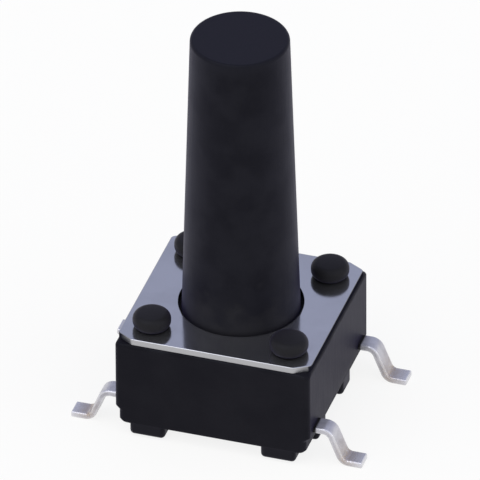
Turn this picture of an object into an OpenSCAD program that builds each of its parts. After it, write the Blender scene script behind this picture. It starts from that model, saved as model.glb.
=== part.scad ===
// Tactile push button switch, surface mount, 6 x 6 mm class with a long tapered button.
// Millimetres, +Z up. The solder plane is z = 0 and the button's axis is the Z axis.
// The leads leave the base towards -X and +X.

/* [Base] */
// Width of the base between its two lead sides
body_x = 6.1; // [5.8:0.05:7]
// Depth of the base between its two plain sides
body_y = 5.9; // [5.7:0.05:7]
// Height of the top face of the base above the solder plane
base_top = 3.3; // [3.0:0.05:4.5]
// Height of the underside of the base above the solder plane
base_underside = 0.45; // [0.3:0.05:0.6]
// Radius of the upright corners of the base
corner_r = 0.15; // [0.05:0.05:0.4]
// Wall between the contact chamber and the plain sides
chamber_wall = 0.6; // [0.45:0.05:0.8]
// How far the lead sides step in below the leads
side_step = 0.12; // [0.05:0.01:0.25]
// Chamfer along the bottom of the lead sides
bottom_chamfer = 0.1; // [0.05:0.01:0.25]

/* [Feet] */
// Height of the soles of the feet above the solder plane
foot_gap = 0.05; // [0:0.01:0.15]
// Width of the feet under the plain sides
foot_w = 1.1; // [0.7:0.05:1.3]
// Width of the feet under the lead sides
foot_side_w = 0.85; // [0.6:0.05:1.2]
// Distance from the base's corner to the foot under a plain side
foot_corner_gap = 0.45; // [0.35:0.05:0.6]
// Distance from the base's corner to the foot under a lead side
foot_lead_gap = 1.3; // [1.2:0.05:1.4]
// Radius of the edges of the feet
foot_r = 0.14; // [0.05:0.01:0.2]

/* [Cover plate] */
// Thickness of the cover plate
plate_t = 0.2; // [0.1:0.05:0.4]
// Ledge of the base left bare beside the plate on the lead sides
ledge_x = 0.03; // [0:0.01:0.3]
// Ledge of the base left bare beside the plate on the plain sides
ledge_y = 0.05; // [0:0.01:0.3]
// Length of the plate's cut corners along X
plate_cut_x = 0.5; // [0.2:0.02:0.6]
// Length of the plate's cut corners along Y
plate_cut_y = 0.28; // [0.2:0.02:0.56]

/* [Staked posts] */
// Distance from the sides of the base to the middle of each post
post_inset = 0.9; // [0.8:0.05:1.0]
// Diameter of the post where it passes through the plate
post_d = 0.78; // [0.5:0.02:0.9]
// Diameter of the staked head
head_d = 1.16; // [1.0:0.02:1.3]
// Height of the staked head above the plate
head_h = 0.52; // [0.3:0.02:0.6]
// Radius of the rim of the staked head
head_r = 0.22; // [0.05:0.01:0.25]
// Clearance round the post in its hole
post_clearance = 0.03; // [0.01:0.01:0.1]

/* [Button] */
// Height of the top of the button above the solder plane
total_h = 13; // [6:0.5:19]
// Diameter of the stem where it comes out of the plate
stem_d = 3.56; // [3.2:0.02:3.7]
// Diameter of the top of the stem
stem_top_d = 2.98; // [2.4:0.02:3.4]
// Radius of the edge round the top of the stem
stem_edge_r = 0.05; // [0.03:0.01:0.3]
// Clearance round the stem in the plate's hole
stem_clearance = 0.1; // [0.05:0.01:0.2]
// Thickness of the flange that holds the button in
flange_t = 0.75; // [0.4:0.05:0.9]
// Clearance round the flange in the chamber
flange_clearance = 0.1; // [0.05:0.01:0.2]
// Diameter of the nub that presses on the dome
nub_d = 1.4; // [0.8:0.1:2]
// Free play above the flange and below the nub
button_play = 0.02; // [0.01:0.01:0.05]

/* [Contact dome] */
// Travel of the button from rest to contact
travel = 0.25; // [0.15:0.01:0.35]
// Thickness of the dome's sheet
dome_t = 0.08; // [0.05:0.01:0.12]
// Clearance round the rim of the dome in the chamber
dome_clearance = 0.2; // [0.1:0.05:0.3]
// Gap left between the dome and the centre contact at full travel
contact_spare = 0.02; // [0.01:0.01:0.05]

/* [Leads] */
// Distance between the middles of the two leads on one side
lead_pitch = 4.5; // [4.2:0.05:4.6]
// Width of a lead
lead_w = 0.6; // [0.5:0.05:0.8]
// Thickness of the lead frame
lead_t = 0.2; // [0.15:0.01:0.3]
// Height of the underside of the lead frame above the solder plane
lead_z = 1; // [0.95:0.05:1.2]
// Straight run of a lead from the base to its first bend
lead_run = 0.28; // [0.05:0.01:0.5]
// Inner radius of the bends of a lead
bend_r = 0.2; // [0.1:0.01:0.25]
// Angle of the sloping part of a lead, from flat
lead_angle = 68; // [55:1:85]
// Length of the flat of the solder foot
toe_l = 0.42; // [0.2:0.02:1]

/* [Contacts] */
// Plastic over the lead frame on the chamber's floor
floor_cover = 0.1; // [0.05:0.01:0.2]
// How far the contact lands stand out of the floor
land_proud = 0.03; // [0.01:0.01:0.06]
// Diameter of the centre contact land
centre_land_d = 1; // [0.6:0.1:1.2]
// Width of the tongue, the arms and the rim lands
tongue_w = 0.6; // [0.4:0.05:0.8]

/* [Hidden] */
$fn = 96;
cut = 0.01;                                        // overlap of cuts and joined solids

half_x = body_x / 2;
half_y = body_y / 2;
low_x = half_x - side_step;                        // lead sides below the leads
step_top = lead_z;
step_bottom = lead_z - side_step;

plate_x = body_x - 2 * ledge_x;
plate_y = body_y - 2 * ledge_y;
plate_top = base_top + plate_t;
post_x = half_x - post_inset;
post_y = half_y - post_inset;
rim_share = 0.45;                                  // so that a low head keeps an upright rim
rim_r = min(head_r, rim_share * head_h);
stem_hole_d = stem_d + 2 * stem_clearance;
post_hole_d = post_d + 2 * post_clearance;

chamber_d = body_y - 2 * chamber_wall;
floor_z = lead_z + lead_t + floor_cover;
land_z = floor_z + land_proud;

dome_d = chamber_d - 2 * dome_clearance;
dome_rise = travel + contact_spare + dome_t;       // rim to crown, outside
dome_top = land_z + dome_rise;
dome_ball_r = (pow(dome_d / 2, 2) + pow(dome_rise, 2)) / (2 * dome_rise);
rim_land_x = dome_d / 2 - tongue_w / 4;

flange_top = base_top - button_play;
flange_bottom = flange_top - flange_t;
flange_d = chamber_d - 2 * flange_clearance;
nub_z = dome_top + button_play;
stem_taper = atan((stem_d - stem_top_d) / 2 / (total_h - plate_top));
stem_foot_r = stem_d / 2 + (plate_top - flange_top) * tan(stem_taper);

lead_y = lead_pitch / 2;
bend_x = half_x + lead_run;                        // where the first bend starts
bend_mid_r = bend_r + lead_t / 2;
slope_l = (lead_z - 2 * bend_mid_r * (1 - cos(lead_angle))) / sin(lead_angle);
toe_x = bend_x + 2 * bend_mid_r * sin(lead_angle) + slope_l * cos(lead_angle);

// A rectangle with round corners, centred
module rounded_rect(w, h, r) {
    square([w - 2 * r, h], center = true);
    square([w, h - 2 * r], center = true);
    for (x = [-1, 1], y = [-1, 1])
        translate([x * (w / 2 - r), y * (h / 2 - r)]) circle(r);
}

// A block with round edges on its sides and bottom, from corner a to corner b
module rounded_block(a, b, r) {
    size = b - a;
    mid = (a + b) / 2;
    tall = 2 * size.z;
    translate([mid.x, mid.y, b.z])
        intersection() {
            translate([0, 0, -size.z]) linear_extrude(size.z) rounded_rect(size.x, size.y, r);
            rotate([90, 0, 0]) linear_extrude(2 * size.y, center = true) rounded_rect(size.x, tall, r);
            rotate([90, 0, 90]) linear_extrude(2 * size.x, center = true) rounded_rect(size.y, tall, r);
        }
}

// Half of the base's front outline, from its middle out to the +X lead side
module side_outline() {
    polygon([
        [0, base_underside],
        [low_x - bottom_chamfer, base_underside],
        [low_x, base_underside + bottom_chamfer],
        [low_x, step_bottom],
        [half_x, step_top],
        [half_x, base_top],
        [0, base_top]
    ]);
}

// One foot under the +X -Y corner, in two arms that leave the corner free below the lead
module corner_foot() {
    sole_top = base_underside + bottom_chamfer;
    plain_x = half_x - foot_corner_gap;
    side_y = half_y - foot_lead_gap;
    rounded_block([plain_x - foot_w, -half_y, foot_gap],
                  [plain_x, foot_side_w - side_y, sole_top], foot_r);
    rounded_block([plain_x - foot_w, -side_y, foot_gap],
                  [low_x, foot_side_w - side_y, sole_top], foot_r);
}

// A post that stands on the base and goes through the plate, with its staked head
module staked_post() {
    translate([0, 0, base_top - cut]) cylinder(d = post_d, h = plate_t + 2 * cut);
    translate([0, 0, plate_top])
        rotate_extrude() {
            square([head_d / 2 - rim_r, head_h]);
            translate([0, rim_r]) square([head_d / 2, head_h - 2 * rim_r]);
            for (z = [rim_r, head_h - rim_r])
                intersection() {
                    translate([head_d / 2 - rim_r, z]) circle(rim_r);
                    square([head_d, head_h]);
                }
        }
}

module at_corners() {
    for (x = [0, 1], y = [0, 1])
        mirror([x, 0, 0]) mirror([0, y, 0]) children();
}

module base() {
    color([0.13, 0.13, 0.14])
        difference() {
            union() {
                intersection() {
                    linear_extrude(base_top) rounded_rect(body_x, body_y, corner_r);
                    rotate([90, 0, 0]) linear_extrude(2 * body_y, center = true) {
                        side_outline();
                        mirror([1, 0]) side_outline();
                    }
                }
                at_corners() {
                    corner_foot();
                    translate([post_x, -post_y, 0]) staked_post();
                }
            }
            translate([0, 0, floor_z]) cylinder(d = chamber_d, h = base_top - floor_z + cut);
            centre_frame();
            rim_frame();
        }
}

module cover_plate() {
    px = plate_x / 2;
    py = plate_y / 2;
    color([0.72, 0.73, 0.77])
        translate([0, 0, base_top])
            linear_extrude(plate_t)
                difference() {
                    polygon([
                        [px, plate_cut_y - py], [px, py - plate_cut_y], [px - plate_cut_x, py],
                        [plate_cut_x - px, py], [-px, py - plate_cut_y], [-px, plate_cut_y - py],
                        [plate_cut_x - px, -py], [px - plate_cut_x, -py]
                    ]);
                    circle(d = stem_hole_d);
                    for (x = [-1, 1], y = [-1, 1])
                        translate([x * post_x, y * post_y]) circle(d = post_hole_d);
                }
}

module plunger() {
    edge_z = total_h - stem_edge_r;
    edge_x = stem_top_d / 2 + stem_edge_r * tan(stem_taper) - stem_edge_r / cos(stem_taper);
    color([0.16, 0.16, 0.17])
        rotate_extrude() {
            polygon([
                [0, nub_z],
                [nub_d / 2, nub_z],
                [nub_d / 2, flange_bottom],
                [flange_d / 2, flange_bottom],
                [flange_d / 2, flange_top],
                [stem_foot_r, flange_top],
                [edge_x + stem_edge_r * cos(stem_taper), edge_z + stem_edge_r * sin(stem_taper)],
                [edge_x, total_h],
                [0, total_h]
            ]);
            translate([edge_x, edge_z]) circle(stem_edge_r);
        }
}

module contact_dome() {
    ball_z = dome_top - dome_ball_r;
    color([0.78, 0.77, 0.74])
        intersection() {
            difference() {
                translate([0, 0, ball_z]) sphere(dome_ball_r, $fn = 360);
                translate([0, 0, ball_z]) sphere(dome_ball_r - dome_t, $fn = 360);
            }
            translate([0, 0, land_z]) cylinder(d = dome_d, h = dome_rise + cut);
        }
}

// Part of a ring from angle a to angle b, as one bend of a lead seen from the side
module ring_part(r, t, a, b) {
    reach = 2 * (r + t);
    intersection() {
        difference() {
            circle(r + t);
            circle(r);
        }
        polygon([[0, 0], reach * [cos(a), sin(a)], reach * [cos((a + b) / 2), sin((a + b) / 2)],
                 reach * [cos(b), sin(b)]]);
    }
}

// Half of the lead frame's strip seen from the side: flat, bend, slope, bend, solder foot
module strip_outline() {
    upper = [bend_x, lead_z - bend_r];
    lower = [toe_x, lead_t + bend_r];
    translate([0, lead_z]) square([bend_x, lead_t]);
    translate(upper) ring_part(bend_r, lead_t, 90 - lead_angle, 90);
    translate(upper) rotate(-lead_angle) translate([0, bend_r]) square([slope_l, lead_t]);
    translate(lower) ring_part(bend_r, lead_t, 270 - lead_angle, 270);
    translate([toe_x, 0]) square([toe_l, lead_t]);
}

module strip() {
    rotate([90, 0, 0])
        linear_extrude(lead_w, center = true) {
            strip_outline();
            mirror([1, 0]) strip_outline();
        }
}

// A flat piece of the lead frame, between two corners of its plan
module frame_bar(a, b) {
    translate([a.x, a.y, lead_z]) cube([b.x - a.x, b.y - a.y, lead_t]);
}

// A contact land that stands up from the frame through the floor
module round_land(d) {
    translate([0, 0, lead_z]) cylinder(d = d, h = land_z - lead_z);
}

module centre_frame() {
    translate([0, -lead_y, 0]) strip();
    frame_bar([-tongue_w / 2, -lead_y], [tongue_w / 2, 0]);
    round_land(centre_land_d);
}

module rim_frame() {
    translate([0, lead_y, 0]) strip();
    for (x = [-rim_land_x, rim_land_x]) {
        frame_bar([x - tongue_w / 2, 0], [x + tongue_w / 2, lead_y]);
        translate([x, 0, 0]) round_land(tongue_w);
    }
}

module centre_terminal() { color([0.8, 0.8, 0.82]) centre_frame(); }

module rim_terminal() { color([0.8, 0.8, 0.82]) rim_frame(); }

base();
cover_plate();
plunger();
contact_dome();
centre_terminal();
rim_terminal();
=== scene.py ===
import math

import bmesh
import bpy
from mathutils import Matrix, Vector


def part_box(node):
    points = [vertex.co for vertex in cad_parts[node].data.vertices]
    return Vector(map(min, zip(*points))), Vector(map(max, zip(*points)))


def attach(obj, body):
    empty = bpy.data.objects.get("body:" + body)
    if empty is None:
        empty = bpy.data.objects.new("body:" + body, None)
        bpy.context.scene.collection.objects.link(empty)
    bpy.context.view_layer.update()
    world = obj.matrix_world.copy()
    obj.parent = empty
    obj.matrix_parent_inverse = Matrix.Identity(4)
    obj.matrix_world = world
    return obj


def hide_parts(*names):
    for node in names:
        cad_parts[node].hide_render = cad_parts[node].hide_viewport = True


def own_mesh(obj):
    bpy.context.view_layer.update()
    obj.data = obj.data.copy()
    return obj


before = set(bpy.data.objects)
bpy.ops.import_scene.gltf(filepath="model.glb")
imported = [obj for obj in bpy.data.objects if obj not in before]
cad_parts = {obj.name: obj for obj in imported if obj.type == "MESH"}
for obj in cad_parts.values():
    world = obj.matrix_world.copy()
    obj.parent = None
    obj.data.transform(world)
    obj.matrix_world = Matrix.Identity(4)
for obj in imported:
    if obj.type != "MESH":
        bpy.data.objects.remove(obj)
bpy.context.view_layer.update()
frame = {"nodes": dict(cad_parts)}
toMetres = 0.001  # the sizes below are in millimetres
sharp = 0.001  # the radius of a corner that looks sharp
noiseMiddle = 0.5
white = (1, 1, 1, 1)
print("frame loaded:", ", ".join(frame["nodes"]))


def boxOf(node):
    return [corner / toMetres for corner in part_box(node)]


# the output of a node: sums on it add Math nodes
class Wire:
    def __init__(self, nodes, socket):
        self.nodes = nodes
        self.socket = socket

    def calc(self, operation, first, second):
        return self.nodes.add("Math", dict(operation=operation), {0: first, 1: second})

    def __add__(self, other):
        return self.calc("ADD", self, other)

    def __sub__(self, other):
        return self.calc("SUBTRACT", self, other)

    def __rsub__(self, other):
        return self.calc("SUBTRACT", other, self)

    def __mul__(self, other):
        return self.calc("MULTIPLY", self, other)

    __radd__ = __add__
    __rmul__ = __mul__


# a node tree, filled one node at a time
class Nodes:
    def __init__(self, owner):
        owner.use_nodes = True
        self.tree = owner.node_tree
        self.tree.nodes.clear()

    def add(self, kind, settings=None, sockets=None, out=0):
        node = self.tree.nodes.new("ShaderNode" + kind)
        for key, value in (settings or {}).items():
            setattr(node, key, value)
        for key, value in (sockets or {}).items():
            if isinstance(value, Wire):
                self.tree.links.new(value.socket, node.inputs[key])
            else:
                node.inputs[key].default_value = value
        return Wire(self, node.outputs[out]) if node.outputs else None

    # cloudy noise with patches of that size, longer along an axis by its stretch
    def noise(self, size, stretch=(1, 1, 1), detail=2.0):
        point = self.add("TexCoord", out="Object")
        scale = [1 / (toMetres * size * along) for along in stretch]
        point = self.add("VectorMath", dict(operation="MULTIPLY"), {0: point, 1: scale})
        return self.add("TexNoise", sockets={"Vector": point, "Scale": 1.0, "Detail": detail})

    # height above the solder plane, in millimetres
    def height(self):
        point = self.add("TexCoord", out="Object")
        return self.add("SeparateXYZ", sockets={0: point}, out="Z") * (1 / toMetres)

    # noise about its middle, times an amount
    def swing(self, noise, amount):
        return (noise - noiseMiddle) * amount

    # low..high becomes 0..1
    def between(self, wire, low, high):
        return self.add("MapRange", dict(interpolation_type="SMOOTHSTEP"),
                        {"Value": wire, "From Min": low, "From Max": high})

    def mix(self, share, first, second):
        return self.add("Mix", dict(data_type="RGBA"), {0: share, 6: first, 7: second}, 2)

    # a share from 0 to 1 that was written on the points of the mesh
    def mask(self, name):
        return self.add("Attribute", dict(attribute_name=name), out="Fac")

    def bump(self, height, depth):
        return self.add("Bump", sockets={"Height": height, "Distance": depth * toMetres})

    # 1 for what the camera sees, also by reflection or through glass
    def seen(self):
        kinds = ("Camera", "Glossy", "Transmission")
        camera, glossy, through = [self.add("LightPath", out=f"Is {kind} Ray") for kind in kinds]
        return camera + glossy + through

    def finish(self, sockets):
        return self.add("BsdfPrincipled", sockets=sockets)

    def surface(self, shader):
        self.add("OutputMaterial", sockets={"Surface": shader})


# black plastic from a spark-eroded mould: fine grain, drag marks along Z, edges rubbed and painted lighter
# as a highlight, painted light near the foot, and the top painted lighter as if lit from above
plastic = dict(
    cloudDetail=4.0, lightFrom=0.25, lightFull=0.75, rubFrom=0.38, rubFull=0.62,
    grainRough=0.16, dragRough=0.14, rubSmooth=0.12,
)


def mouldedPlastic(name, look):
    material = bpy.data.materials.new(name)
    nodes = Nodes(material)
    clouds = nodes.noise(look["cloudSize"], detail=plastic["cloudDetail"])
    grain = nodes.noise(look["grainSize"])
    drag = nodes.noise(look["dragSize"], stretch=(1, 1, look["dragLength"]))
    # the edges: rubbed, and painted lighter there as a highlight
    wearAndHighlight = nodes.mask("edge") * nodes.between(clouds, plastic["rubFrom"], plastic["rubFull"])
    lighter = nodes.between(clouds, plastic["lightFrom"], plastic["lightFull"])
    # painted light near the foot: on the button a pool of light thrown up by the bright cover, on the base
    # lighter towards the bottom
    drift = nodes.swing(clouds, look["footLightDrift"])
    footLit = 1 - nodes.between(nodes.height() + drift, look["footLightLow"], look["footLightHigh"])
    # the top painted lighter, as if lit from above
    litTop = nodes.between(nodes.height(), look["litTopLow"], look["litTopHigh"])
    colour = nodes.mix(lighter, look["dark"], look["light"])
    colour = nodes.mix(wearAndHighlight * look["wearAndHighlightShare"], colour, look["wearAndHighlight"])
    colour = nodes.mix(footLit, colour, look["footLight"])
    colour = nodes.mix(litTop, colour, look["litTop"])
    roughness = look["roughness"] + nodes.swing(grain, plastic["grainRough"])
    roughness = roughness + nodes.swing(drag, plastic["dragRough"]) - wearAndHighlight * plastic["rubSmooth"]
    nodes.surface(nodes.finish({
        "Base Color": colour,
        "Roughness": roughness,
        "Specular IOR Level": look["gloss"],
        "Specular Tint": look["glossTint"],
        "Sheen Weight": look["sheen"],
        "Sheen Tint": look["sheenTint"],
        "Normal": nodes.bump(grain + drag * look["dragShare"], look["grainDepth"]),
    }))
    return material


# bright rolled sheet: faint rolling lines along X, hazy patches, plated slit edges, cut faces painted near
# black as shade
sheet = dict(
    hazeDetail=4.0, hazeFrom=0.35, hazeFull=0.7, hazeRough=0.05, lineRough=0.05, bareLineRough=0.2,
    scratchLength=25, scratchFrom=0.66, scratchFull=0.72, scratchRough=0.06, scratchDepth=0.5,
)


def rolledSheet(name, look):
    material = bpy.data.materials.new(name)
    nodes = Nodes(material)
    lines = nodes.noise(look["lineSize"], stretch=(look["lineLength"], 1, 1))
    haze = nodes.noise(look["hazeSize"], detail=sheet["hazeDetail"])
    haze = nodes.between(haze, sheet["hazeFrom"], sheet["hazeFull"])
    scratches = nodes.noise(look["scratchSize"], stretch=(1, sheet["scratchLength"], 1))
    scratches = nodes.between(scratches, sheet["scratchFrom"], sheet["scratchFull"])
    flank = nodes.mask("flank")
    # where the cut faces are painted near black as shade
    bare = nodes.mask("bare")
    colour = nodes.mix(haze, look["bright"], look["dull"])
    colour = nodes.mix(flank, colour, look["slit"])
    roughness = look["roughness"] + haze * sheet["hazeRough"] + nodes.swing(lines, sheet["lineRough"])
    roughness = roughness + scratches * sheet["scratchRough"] + flank * look["slitRough"]
    plated = nodes.finish({
        "Base Color": colour,
        "Metallic": look["metallic"],
        "Roughness": roughness,
        "Normal": nodes.bump(lines - scratches * sheet["scratchDepth"], look["lineDepth"]),
    })
    # the painted shade on the cut faces: a dull near-black surface
    shadedCutSurface = nodes.finish({
        "Base Color": nodes.mix(haze, look["bare"], look["bareDull"]),
        "Roughness": look["bareRoughness"] + nodes.swing(lines, sheet["bareLineRough"]),
        "Specular IOR Level": look["bareGloss"],
    })
    nodes.surface(nodes.add("MixShader", sockets={0: bare, 1: plated, 2: shadedCutSurface}))
    return material


# matt tin plating over copper alloy: fine crystals, dull patches, edges rubbed and painted brighter as a
# highlight, browner in the heel, and painted shade at the root where it leaves the wall
tin = dict(
    detail=3.0, dullFrom=0.4, dullFull=0.7, heelBrownFrom=0.3, heelBrownFull=0.6,
    crystalRough=0.16, dullRough=0.08, rubSmooth=0.16,
)


def tinPlate(name, look):
    material = bpy.data.materials.new(name)
    nodes = Nodes(material)
    crystals = nodes.noise(look["crystalSize"], detail=tin["detail"])
    patches = nodes.noise(look["patchSize"], detail=tin["detail"])
    dull = nodes.between(patches, tin["dullFrom"], tin["dullFull"])
    # browner near the heel of each wing
    heelBrown = nodes.mask("heel") * nodes.between(crystals, tin["heelBrownFrom"], tin["heelBrownFull"])
    edge = nodes.mask("edge")
    colour = nodes.mix(dull, look["bright"], look["dull"])
    # edges: rubbed, and painted brighter as a highlight
    colour = nodes.mix(edge * look["wearAndHighlightShare"], colour, look["wearAndHighlight"])
    colour = nodes.mix(heelBrown, colour, look["heelBrown"])
    # the root painted dark: painted shade where the lead leaves the wall
    colour = nodes.mix(nodes.mask("rootShade"), colour, look["rootShade"])
    roughness = look["roughness"] + nodes.swing(crystals, tin["crystalRough"])
    roughness = roughness + dull * tin["dullRough"] - edge * tin["rubSmooth"]
    nodes.surface(nodes.finish({
        "Base Color": colour,
        "Metallic": look["metallic"],
        "Roughness": roughness,
        "Normal": nodes.bump(crystals, look["crystalDepth"]),
    }))
    return material


# corners are (x, y, radius): each becomes an arc, and with a margin has a point before and after it
def rounded(corners, steps, closed=False, margin=0.0):
    points = []
    last = len(corners) - 1
    for index, (x, y, radius) in enumerate(corners):
        here = Vector((x, y))
        if radius == 0 or not closed and index in (0, last):
            points.append(here)
            continue
        back = (Vector(corners[index - 1][:2]) - here).normalized()
        ahead = (Vector(corners[(index + 1) % (last + 1)][:2]) - here).normalized()
        half = back.angle(ahead) / 2
        reach = radius / math.tan(half)
        centre = here + (back + ahead).normalized() * radius / math.sin(half)
        arms = [here + back * reach - centre, here + ahead * reach - centre]
        first, final = [math.atan2(arm.y, arm.x) for arm in arms]
        turn = (final - first + math.pi) % (2 * math.pi) - math.pi
        angles = [first + turn * step / steps for step in range(steps + 1)]
        arc = [centre + radius * Vector((math.cos(angle), math.sin(angle))) for angle in angles]
        if margin:
            arc = [here + back * (reach + margin)] + arc + [here + ahead * (reach + margin)]
        points.extend(arc)
    return points


def roundedRect(halfX, halfY, radius, steps, margin):
    corners = [(halfX, -halfY), (halfX, halfY), (-halfX, halfY), (-halfX, -halfY)]
    return rounded([(x, y, radius) for x, y in corners], steps, True, margin)


def circle(x, y, radius, steps):
    angles = [2 * math.pi * step / steps for step in range(steps)]
    return [Vector((x + radius * math.cos(angle), y + radius * math.sin(angle))) for angle in angles]


# a closed outline moved to its left
def offset(outline, distance):
    moved = []
    for index, here in enumerate(outline):
        back = (here - outline[index - 1]).normalized()
        ahead = (outline[(index + 1) % len(outline)] - here).normalized()
        side = Vector((-back.y, back.x))
        middle = (side + Vector((-ahead.y, ahead.x))).normalized()
        moved.append(here + middle * distance / middle.dot(side))
    return moved


# joins rings of points with quads; a ring of one point is a pole
def skin(form, rings, capped=False):
    made = [[form.verts.new(point) for point in ring] for ring in rings]
    for lower, upper in zip(made, made[1:]):
        for step in range(max(len(lower), len(upper))):
            corners = [lower[step % len(lower)], lower[(step + 1) % len(lower)],
                       upper[(step + 1) % len(upper)], upper[step % len(upper)]]
            form.faces.new(list(dict.fromkeys(corners)))
    if capped:
        form.faces.new(made[0])
        form.faces.new(made[-1])
    return made


# turns a profile of (radius, z) about an upright axis
def revolve(form, profile, steps, x=0.0, y=0.0):
    rings = []
    for radius, z in profile:
        ring = circle(x, y, radius, steps) if radius > 0 else [Vector((x, y))]
        rings.append([(point.x, point.y, z) for point in ring])
    skin(form, rings)


def roundedBox(form, low, high, radius):
    size = Vector(high) - Vector(low)
    place = Matrix.Translation((Vector(high) + Vector(low)) / 2) @ Matrix.Diagonal((*size, 1))
    corners = bmesh.ops.create_cube(form, size=1, matrix=place)["verts"]
    sides = list({side for corner in corners for side in corner.link_edges})
    bmesh.ops.bevel(form, geom=sides, offset=radius, segments=4, profile=0.5, affect="EDGES")


# a loose object in millimetres, for the booleans
def workObject(form, name):
    bmesh.ops.recalc_face_normals(form, faces=form.faces)
    mesh = bpy.data.meshes.new(name)
    form.to_mesh(mesh)
    form.free()
    made = bpy.data.objects.new(name, mesh)
    bpy.context.scene.collection.objects.link(made)
    return made


# adds and cuts the tools one by one, and gives the mesh that is left
def carve(block, tools, weld=1e-5):
    for tool, operation in tools:
        step = block.modifiers.new(tool.name, "BOOLEAN")
        step.solver = "EXACT"
        step.operation = operation
        step.object = tool
    bpy.context.view_layer.update()
    carved = block.evaluated_get(bpy.context.evaluated_depsgraph_get())
    form = bmesh.new()
    form.from_mesh(carved.to_mesh())
    bmesh.ops.remove_doubles(form, verts=form.verts, dist=weld)
    bmesh.ops.dissolve_degenerate(form, edges=form.edges, dist=weld)
    return form


def discard(objects):
    for old in objects:
        bpy.data.objects.remove(old)


shading = dict(sharpAngle=40, fullEdge=20)  # in degrees


# writes how sharply the surface turns outwards at each point, shades it smooth and puts it in the frame
def makePiece(form, name, body, node, material):
    bmesh.ops.recalc_face_normals(form, faces=form.faces)
    edge = form.verts.layers.float.new("edge")
    for point in form.verts:
        angles = [side.calc_face_angle_signed(0.0) for side in point.link_edges]
        point[edge] = min(1.0, max([0.0] + angles) / math.radians(shading["fullEdge"]))
    mesh = bpy.data.meshes.new(name)
    form.to_mesh(mesh)
    form.free()
    mesh.transform(Matrix.Scale(toMetres, 4))
    mesh.shade_smooth()
    mesh.set_sharp_from_angle(angle=math.radians(shading["sharpAngle"]))
    mesh.materials.append(material)
    piece = bpy.data.objects.new(name, mesh)
    bpy.context.scene.collection.objects.link(piece)
    piece.modifiers.new("faceNormals", "WEIGHTED_NORMAL").keep_sharp = True
    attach(piece, body)
    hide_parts(node)
    print(name, "made:", len(mesh.polygons), "faces")
    return piece


# button: a tapered stem over a flange that the cover holds in, with a nub below
button = dict(
    stemWidth=3.56, topWidth=2.98, topEdge=0.1, coverTop=3.5,
    flangeBottom=2.53, flangeTop=3.28, flangeEdge=0.05,
    nubWidth=1.4, nubEdge=0.12, edgeSteps=6, edgeMargin=0.02, turns=160,
    look=dict(
        dark=(0.0055, 0.0055, 0.0065, 1), light=(0.009, 0.009, 0.0105, 1),
        # edges: rubbed, and painted lighter as a highlight
        wearAndHighlight=(0.03, 0.03, 0.036, 1), wearAndHighlightShare=0.45,
        roughness=0.48, gloss=0.075, glossTint=(0.8, 0.82, 1, 1),
        sheen=0.06, sheenTint=(0.4, 0.35, 1, 1),
        # painted light near the foot, a pool of light thrown up by the bright cover
        footLight=(0.02, 0.0195, 0.02, 1), footLightLow=3.3, footLightHigh=5.0, footLightDrift=4.5,
        # the top painted lighter, as if lit from above
        litTop=(0.0098, 0.0098, 0.012, 1), litTopLow=12.6, litTopHigh=13,
        cloudSize=0.9, grainSize=0.03, grainDepth=0.0022,
        dragSize=0.06, dragLength=30, dragShare=0.6,
    ),
)


def makeButton(size, look):
    low, high = boxOf("plunger")
    taper = (size["stemWidth"] - size["topWidth"]) / 2 / (high.z - size["coverTop"])
    footRadius = size["stemWidth"] / 2 + (size["coverTop"] - size["flangeTop"]) * taper
    profile = rounded([
        (0, low.z, 0),
        (size["nubWidth"] / 2, low.z, size["nubEdge"]),
        (size["nubWidth"] / 2, size["flangeBottom"], size["flangeEdge"]),
        (high.x, size["flangeBottom"], size["flangeEdge"]),
        (high.x, size["flangeTop"], size["flangeEdge"]),
        (footRadius, size["flangeTop"], size["flangeEdge"]),
        (size["topWidth"] / 2, high.z, size["topEdge"]),
        (0, high.z, 0),
    ], size["edgeSteps"], margin=size["edgeMargin"])
    form = bmesh.new()
    revolve(form, profile, size["turns"])
    material = mouldedPlastic("buttonPlastic", look)
    makePiece(form, "button", "button", "plunger", material)


# cover: flat sheet with cut corners, a hole for the stem and one for each post
cover = dict(
    cutX=0.5, cutY=0.28, cornerRound=0.15, cornerSteps=6,
    edgeRoll=0.025, edgeBurr=0.012, edgeMargin=0.03, edgeSteps=5,
    stemHole=3.76, postHole=0.84, postX=2.15, postY=2.05, holeTurns=144, postTurns=48,
    bareLeft=(2.5, 2.66), bareRight=(2.88, 2.95), bareRoll=1.5,  # where the painted shade on the cut ends starts and is full
    look=dict(
        bright=(0.66, 0.655, 0.655, 1), dull=(0.61, 0.605, 0.605, 1), slit=(0.44, 0.44, 0.455, 1),
        # near black for the cut faces: painted shade
        bare=(0.009, 0.009, 0.015, 1), bareDull=(0.014, 0.014, 0.02, 1),
        bareRoughness=0.7, bareGloss=0.0,
        metallic=0.967, roughness=0.11, slitRough=0.28,
        lineSize=0.02, lineLength=60, lineDepth=0.00025,
        hazeSize=1.1, scratchSize=0.05,
    ),
)


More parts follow.
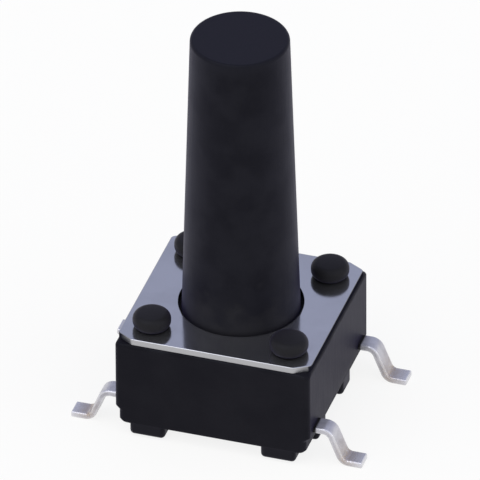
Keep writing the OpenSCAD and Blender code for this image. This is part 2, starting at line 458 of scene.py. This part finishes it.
def makeCover(size, look):
    low, high = boxOf("cover_plate")
    x, y, cutX, cutY = high.x, high.y, size["cutX"], size["cutY"]
    corners = [(x, cutY - y), (x, y - cutY), (x - cutX, y), (cutX - x, y),
               (-x, y - cutY), (-x, cutY - y), (cutX - x, -y), (x - cutX, -y)]
    corners = [(*corner, size["cornerRound"]) for corner in corners]
    outline = rounded(corners, size["cornerSteps"], True, size["edgeMargin"])
    holes = [circle(0, 0, size["stemHole"] / 2, size["holeTurns"])]
    for postX in (size["postX"], -size["postX"]):
        for postY in (size["postY"], -size["postY"]):
            holes.append(circle(postX, postY, size["postHole"] / 2, size["postTurns"]))
    # the section of an edge, from the top face down to the bottom face: (inwards, z)
    roll, burr, margin = size["edgeRoll"], size["edgeBurr"], size["edgeMargin"]
    section = rounded([(roll + margin, high.z, 0), (0, high.z, roll),
                       (0, low.z, burr), (burr + margin, low.z, 0)], size["edgeSteps"])
    form = bmesh.new()
    flank = form.verts.layers.float.new("flank")
    bare = form.verts.layers.float.new("bare")
    faces = {0: [], -1: []}
    punched = set()
    for loop, inwards in [(outline, 1)] + [(hole, -1) for hole in holes]:
        rings = []
        for inset, z in section:
            rings.append([(point.x, point.y, z) for point in offset(loop, inset * inwards)])
        made = skin(form, rings)
        if inwards < 0:
            punched.update(point for ring in made for point in ring)
        for end, sides in faces.items():
            ring = made[end]
            sides.extend(form.edges.get((point, ring[index - 1])) for index, point in enumerate(ring))
    for sides in faces.values():
        bmesh.ops.triangle_fill(form, edges=sides, use_beauty=True)
    bmesh.ops.recalc_face_normals(form, faces=form.faces)
    form.normal_update()
    # the slit sides keep their plating; the cut faces at the ends and holes are painted near black as
    # shade, further in on the left end than on the right
    for point in form.verts:
        point[flank] = 1 - abs(point.normal.z)
        start, full = size["bareLeft" if point.co.x < 0 else "bareRight"]
        share = (abs(point.co.x) - start) / (full - start)
        share = 1.0 if point in punched else min(1.0, max(0.0, share))
        point[bare] = share * min(1.0, point[flank] * size["bareRoll"])
    material = rolledSheet("coverMetal", look)
    makePiece(form, "cover", "housing", "cover_plate", material)


# leads: a strip with a gull wing at each end, and the contacts that it carries inside the base
lead = dict(
    width=0.6, thick=0.2, underside=1.0, angle=68, innerBend=0.2, bendStart=3.33,
    edge=0.055, edgeMargin=0.01, tipEdge=0.025, contactEdge=0.02, edgeSteps=4, bendSteps=14,
    heelX=4.03, heelZ=0.23, heelReach=0.3,
    # the root is painted dark as shade: outward from here, full here, and ending here
    rootShadeFrom=2.4, wall=3.05, rootShadeFull=3.11, rootShadeEnd=3.16,
    tongueWidth=0.6, centreContact=1.0, rimContact=0.6, rimContactX=2.0, contactTurns=48,
    look=dict(
        bright=(0.55, 0.54, 0.575, 1), dull=(0.44, 0.43, 0.46, 1),
        # edges: rubbed, and painted brighter as a highlight
        wearAndHighlight=(0.78, 0.77, 0.79, 1), wearAndHighlightShare=0.6,
        heelBrown=(0.42, 0.33, 0.25, 1), rootShade=(0.022, 0.02, 0.02, 1),
        metallic=0.57, roughness=0.34,
        crystalSize=0.035, crystalDepth=0.0018, patchSize=0.3,
    ),
)


def leadStrip(y, tipX):
    middle = lead["thick"] / 2
    bend = lead["innerBend"] + middle
    angle = math.radians(lead["angle"])
    shoulder = lead["bendStart"] + bend * math.tan(angle / 2)
    heel = shoulder + lead["underside"] / math.tan(angle)
    tip = lead["tipEdge"]
    level = lead["underside"] + middle
    wing = [(lead[key], level, 0) for key in ("wall", "rootShadeFull", "rootShadeEnd")]
    wing += [(shoulder, level, bend), (heel, middle, bend), (tipX - tip, middle, 0), (tipX, middle, 0)]
    path = rounded([(-x, z, radius) for x, z, radius in reversed(wing)] + wing, lead["bendSteps"])
    rings = []
    for index, here in enumerate(path):
        atEnd = index in (0, len(path) - 1)
        along = (path[min(index + 1, len(path) - 1)] - path[max(index - 1, 0)]).normalized()
        trim = tip if atEnd else 0.0
        section = roundedRect(lead["width"] / 2 - trim, middle - trim, lead["edge"] - trim,
                              lead["edgeSteps"], lead["edgeMargin"])
        rings.append([(here.x - along.y * up, y + across, here.y + along.x * up) for across, up in section])
    form = bmesh.new()
    skin(form, rings, capped=True)
    return workObject(form, "strip")


# bars of the lead frame between two corners of the plan, and the contacts that stand up from it
def leadContacts(bars, contacts, top):
    tools = []
    for x0, y0, x1, y1 in bars:
        form = bmesh.new()
        roundedBox(form, (x0, y0, lead["underside"]),
                   (x1, y1, lead["underside"] + lead["thick"]), lead["contactEdge"])
        tools.append((workObject(form, "bar"), "UNION"))
    for x, y, width in contacts:
        form = bmesh.new()
        edge = lead["contactEdge"]
        foot = lead["underside"] + edge
        profile = rounded([(0, foot, 0), (width / 2, foot, sharp),
                           (width / 2, top, edge), (0, top, 0)], lead["edgeSteps"])
        revolve(form, profile, lead["contactTurns"], x, y)
        tools.append((workObject(form, "contact"), "UNION"))
    return tools


def makeLeads(look):
    material = tinPlate("leadTin", look)
    half = lead["tongueWidth"] / 2
    reach = lead["rimContactX"]
    for node, side in (("centre_terminal", -1), ("rim_terminal", 1)):
        low, high = boxOf(node)
        y = (low.y if side < 0 else high.y) - side * lead["width"] / 2
        if side < 0:
            bars = [(-half, y, half, 0)]
            contacts = [(0, 0, lead["centreContact"])]
        else:
            bars = [(x - half, 0, x + half, y) for x in (-reach, reach)]
            contacts = [(x, 0, lead["rimContact"]) for x in (-reach, reach)]
        strip = leadStrip(y, high.x)
        tools = leadContacts(bars, contacts, high.z)
        form = carve(strip, tools)
        discard([strip] + [tool for tool, operation in tools])
        heel = form.verts.layers.float.new("heel")
        rootShade = form.verts.layers.float.new("rootShade")
        for point in form.verts:
            out = abs(point.co.x)
            away = math.hypot(out - lead["heelX"], point.co.z - lead["heelZ"])
            point[heel] = max(0.0, 1 - away / lead["heelReach"])
            # painted shade at the root, fading out away from the wall
            fade = (lead["rootShadeEnd"] - out) / (lead["rootShadeEnd"] - lead["rootShadeFull"])
            point[rootShade] = min(1.0, max(0.0, fade)) if out > lead["rootShadeFrom"] else 0.0
        makePiece(form, node + "_tin", "housing", node, material)


# dome: the snap disc between the nub and the contacts, of a sheet like the cover's with no cut edges
dome = dict(
    thick=0.08, turns=96, arcSteps=24, keptHeight=0.34,
    look=dict(
        cover["look"], bright=(0.62, 0.61, 0.58, 1), dull=(0.5, 0.49, 0.47, 1),
        metallic=1.0, roughness=0.2, lineDepth=0.0004, hazeSize=0.8,
    ),
)


def makeDome(size, look):
    low, high = boxOf("contact_dome")
    rise = high.z - low.z
    ball = (high.x ** 2 + rise ** 2) / (2 * rise)
    centreZ = high.z - ball
    profile = []
    for radius, order in ((ball, 1), (ball - size["thick"], -1)):
        end = math.acos((low.z - centreZ) / radius)
        angles = [end * step / size["arcSteps"] for step in range(size["arcSteps"] + 1)]
        arc = [(radius * math.sin(angle), centreZ + radius * math.cos(angle)) for angle in angles]
        profile += arc[::order]
    form = bmesh.new()
    revolve(form, profile, size["turns"])
    material = rolledSheet("domeSteel", look)
    piece = makePiece(form, "snapDome", "housing", "contact_dome", material)
    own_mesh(piece)


# base: a moulded block on four feet, with posts staked over the cover
base = dict(
    cornerRound=0.15, cornerGrow=3.0, cornerSteps=8, topEdge=0.12, bottomEdge=0.04,
    edgeSteps=5, edgeMargin=0.02, underside=0.45, top=3.3,
    sideStep=0.12, stepBottom=0.88, stepTop=1.0, bottomChamfer=0.1,
    chamberWidth=4.7, chamberFloor=1.3, chamberOvercut=0.1, chamberTurns=96,
    footInner=1.5, footOuter=2.6, footSideFar=1.65, footSideNear=0.8,
    footRound=0.14, footSteps=6, footTop=0.6, footInset=0.004,
    postX=cover["postX"], postY=cover["postY"], postWidth=0.78, postRoot=0.2, postTurns=72,
    headWidth=1.16, headBottom=button["coverTop"], headRound=0.22, headCrown=0.03, headSteps=8,
    look=dict(
        dark=(0.0053, 0.0052, 0.0059, 1), light=(0.0082, 0.008, 0.0088, 1),
        # edges: rubbed, and painted lighter as a highlight
        wearAndHighlight=(0.028, 0.028, 0.033, 1), wearAndHighlightShare=0.15,
        roughness=0.48, gloss=0.08, glossTint=(0.8, 0.82, 1, 1),
        sheen=0.05, sheenTint=(0.4, 0.3, 1, 1),
        # lighter towards the bottom
        footLight=(0.014, 0.014, 0.015, 1), footLightLow=-0.4, footLightHigh=0.5, footLightDrift=1.5,
        # the post heads' tops painted lighter, as if lit from above
        litTop=(0.0165, 0.016, 0.0155, 1), litTopLow=3.4, litTopHigh=3.6,
        cloudSize=1.2, grainSize=0.035, grainDepth=0.0026,
        dragSize=0.08, dragLength=12, dragShare=0.35,
    ),
)


# the inset at a height, along a section of (z, inset) points that only climbs
def insetAt(section, z, leastRise=1e-9):
    for before, after in zip(section, section[1:]):
        if z <= after.x:
            share = max(0.0, z - before.x) / max(after.x - before.x, leastRise)
            return before.y + (after.y - before.y) * share
    return section[-1].y


def baseBlock(halfX, halfY, digits=5):
    bottom, top, edge = base["underside"], base["top"], base["topEdge"]
    step, chamfer, low = base["sideStep"], base["bottomChamfer"], base["bottomEdge"]
    steps, margin = base["edgeSteps"], base["edgeMargin"]
    inside = 1  # well in on the bottom and top faces: only there to turn the edges, then dropped
    leadSide = [(bottom, inside, 0), (bottom, step + chamfer, low / 2), (bottom + chamfer, step, low),
                (base["stepBottom"], step, low), (base["stepTop"], 0, low),
                (top, 0, edge), (top, inside, 0)]
    plainSide = [(bottom, inside, 0), (bottom, 0, low), (top, 0, edge), (top, inside, 0)]
    sections = [rounded(side, steps, margin=margin)[1:-1] for side in (leadSide, plainSide)]
    levels = sorted({round(point.x, digits) for section in sections for point in section})
    rings = []
    for z in levels:
        insetX, insetY = [insetAt(section, z) for section in sections]
        turn = base["cornerRound"] + insetY * base["cornerGrow"]
        plan = roundedRect(halfX - insetX, halfY - insetY, turn, base["cornerSteps"], margin)
        rings.append([(point.x, point.y, z) for point in plan])
    form = bmesh.new()
    skin(form, rings, capped=True)
    return workObject(form, "baseBlock")


def atCorners(make):
    for sideX in (-1, 1):
        for sideY in (-1, 1):
            make(sideX, sideY)


def makeBase(look):
    low, high = boxOf("base")
    halfX, halfY = high.x, high.y
    feet, posts, chamber = [bmesh.new() for _ in range(3)]

    def foot(sideX, sideY):
        turn = base["footRound"]
        farY = halfY - base["footInset"]
        lowX = halfX - base["sideStep"] - base["footInset"]
        plan = [(base["footInner"], farY, turn), (base["footOuter"], farY, turn),
                (base["footOuter"], base["footSideFar"], turn / 2), (lowX, base["footSideFar"], turn),
                (lowX, base["footSideNear"], turn), (base["footInner"], base["footSideNear"], turn)]
        plan = [(x * sideX, y * sideY, radius) for x, y, radius in plan]
        plan = plan if sideX * sideY < 0 else plan[::-1]
        steps, margin = base["footSteps"], base["edgeMargin"]
        outline = rounded(plan, steps, True, margin)
        sole = rounded([(turn + margin, low.z, 0), (0, low.z, turn), (0, base["footTop"], 0)], steps)
        rings = [[(point.x, point.y, z) for point in offset(outline, inset)] for inset, z in sole]
        skin(feet, rings, capped=True)

    def post(sideX, sideY):
        turn = base["headRound"]
        rim = base["headWidth"] / 2
        crown = high.z - base["headCrown"]
        root = base["top"] - base["postRoot"]
        profile = rounded([(0, root, 0), (base["postWidth"] / 2, root, sharp),
                           (base["postWidth"] / 2, base["headBottom"], sharp),
                           (rim, base["headBottom"], turn), (rim, crown, turn),
                           (0, high.z, 0)], base["headSteps"])
        revolve(posts, profile, base["postTurns"], sideX * base["postX"], sideY * base["postY"])

    atCorners(foot)
    atCorners(post)
    radius = base["chamberWidth"] / 2
    floor, above = base["chamberFloor"], base["top"] + base["chamberOvercut"]
    revolve(chamber, [(0, floor), (radius, floor), (radius, above), (0, above)], base["chamberTurns"])
    block = baseBlock(halfX, halfY)
    tools = [(workObject(feet, "feet"), "UNION"), (workObject(posts, "posts"), "UNION"),
             (workObject(chamber, "chamber"), "DIFFERENCE")]
    form = carve(block, tools)
    discard([block] + [tool for tool, operation in tools])
    material = mouldedPlastic("basePlastic", look)
    makePiece(form, "base_moulding", "housing", "base", material)


makeButton(button, button["look"])
makeCover(cover, cover["look"])
makeLeads(lead["look"])
makeDome(dome, dome["look"])
makeBase(base["look"])


# camera: fitted to the edges of the body, the leads and the button in the photograph
photoView = dict(
    azimuth=17.69, elevation=34.81, roll=-0.273, distance=600,
    pixelsPerMm=33.46, frameSize=480, axisHeight=5, axisPixel=(240.97, 259.5), sensor=36, clipStart=10,
)


# the way out from the object: azimuth from the front towards the right, elevation up, in degrees
def direction(azimuth, elevation):
    turn, tilt = math.radians(azimuth), math.radians(elevation)
    return Vector((math.sin(turn) * math.cos(tilt), -math.cos(turn) * math.cos(tilt), math.sin(tilt)))


def addCamera(view):
    back = direction(view["azimuth"], view["elevation"])
    turn = math.radians(view["azimuth"])
    level = Vector((math.cos(turn), math.sin(turn), 0))
    right = Matrix.Rotation(math.radians(view["roll"]), 3, back) @ level
    up = back.cross(right)
    middle = view["frameSize"] / 2
    shiftRight, shiftUp = [(middle - pixel) / view["pixelsPerMm"] for pixel in view["axisPixel"]]
    target = Vector((0, 0, view["axisHeight"])) + right * shiftRight - up * shiftUp
    camera = bpy.data.cameras.new("camera")
    camera.sensor_width = view["sensor"]
    camera.lens = view["pixelsPerMm"] * view["distance"] * view["sensor"] / view["frameSize"]
    camera.clip_start = view["clipStart"] * toMetres
    holder = bpy.data.objects.new("camera", camera)
    place = Matrix.Translation((target + back * view["distance"]) * toMetres)
    holder.matrix_world = place @ Matrix((right, up, back)).transposed().to_4x4()
    bpy.context.scene.collection.objects.link(holder)
    bpy.context.scene.camera = holder


# light: a room with white walls, a grey-blue ceiling and two broad soft lamps
studio = dict(
    roomFill=0.9, ceiling=(0.4, 0.433, 0.6, 1), wallTop=0.12, ceilingFrom=0.5,
    floorSize=4.0, floorColour=(0.99, 0.965, 0.86, 1), floorRoughness=0.7, floorWhite=0.85,
    # name, azimuth, elevation, strength, spread
    lamps=[("keyLamp", -35, 58, 1.2, 60), ("sideLamp", 75, 40, 0.7, 70)],
)


def addLight(look):
    for name, azimuth, elevation, strength, spread in look["lamps"]:
        lamp = bpy.data.lights.new(name, "SUN")
        lamp.energy = strength
        lamp.angle = math.radians(spread)
        holder = bpy.data.objects.new(name, lamp)
        holder.rotation_euler = direction(azimuth, elevation).to_track_quat("Z", "Y").to_euler()
        bpy.context.scene.collection.objects.link(holder)
    world = bpy.data.worlds.new("room")
    bpy.context.scene.world = world
    nodes = Nodes(world)
    climb = nodes.add("SeparateXYZ", sockets={0: nodes.add("TexCoord", out="Generated")}, out="Z")
    ceiling = nodes.between(climb, look["wallTop"], look["ceilingFrom"])
    light = nodes.add("Background", sockets={
        "Color": nodes.mix(ceiling, white, look["ceiling"]),
        "Strength": look["roomFill"] + nodes.seen() * (1 - look["roomFill"])})
    nodes.add("OutputWorld", sockets={"Surface": light})


def addFloor(look):
    form = bmesh.new()
    bmesh.ops.create_grid(form, x_segments=1, y_segments=1, size=look["floorSize"] / 2)
    mesh = bpy.data.meshes.new("floor")
    form.to_mesh(mesh)
    form.free()
    material = bpy.data.materials.new("floorPaper")
    nodes = Nodes(material)
    paper = nodes.finish({
        "Base Color": look["floorColour"], "Roughness": look["floorRoughness"], "Specular IOR Level": 0.0})
    backdrop = nodes.add("Emission", sockets={"Color": white, "Strength": 1.0})
    share = nodes.seen() * look["floorWhite"]
    nodes.surface(nodes.add("MixShader", sockets={0: share, 1: paper, 2: backdrop}))
    mesh.materials.append(material)
    floor = bpy.data.objects.new("floor", mesh)
    bpy.context.scene.collection.objects.link(floor)


addCamera(photoView)
addLight(studio)
addFloor(studio)
bpy.context.scene.view_settings.view_transform = "Standard"
print("camera, light and floor set")
